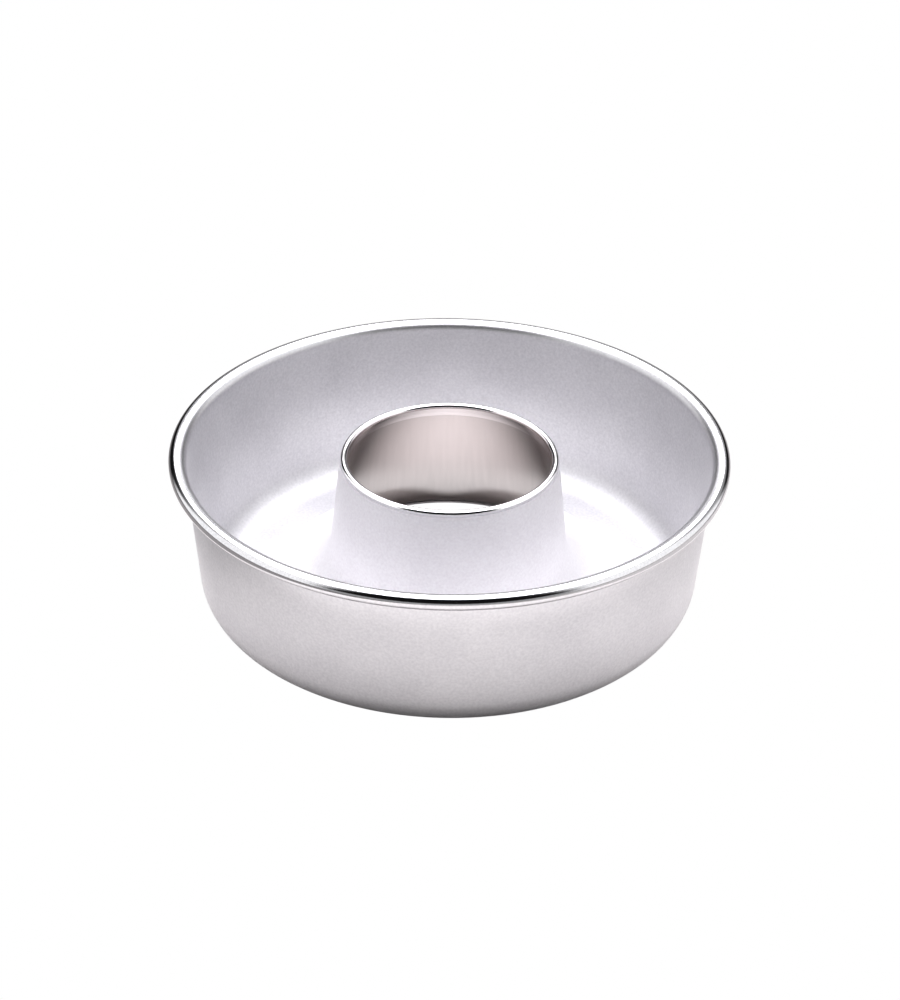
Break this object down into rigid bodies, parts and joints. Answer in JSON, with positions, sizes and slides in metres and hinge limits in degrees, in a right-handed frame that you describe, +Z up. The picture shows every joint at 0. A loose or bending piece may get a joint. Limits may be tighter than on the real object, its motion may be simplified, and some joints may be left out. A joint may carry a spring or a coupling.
{
  "type": "ring cake pan",
  "caption": "Round aluminium ring cake pan: leaning outer wall with a rolled wired rim, flat floor and an open tapered tube in the middle.",
  "frame": {"origin": "centre of the base, on the surface that the pan stands on", "axes": "+Z up along the axis of the tube; X and Y are alike because the pan is round"},
  "size_m": [0.254, 0.254, 0.0762],
  "materials": {
    "satin_aluminium": "fine satin, blasted and anodised",
    "drawn_aluminium": "drawn, brighter inside the bore",
    "zinc_wire": "zinc coated round wire"
  },
  "bodies": {
    "root": {"pan_shell": "satin_aluminium", "rim_wire": "zinc_wire", "centre_tube": "drawn_aluminium"}
  },
  "joints": []
}
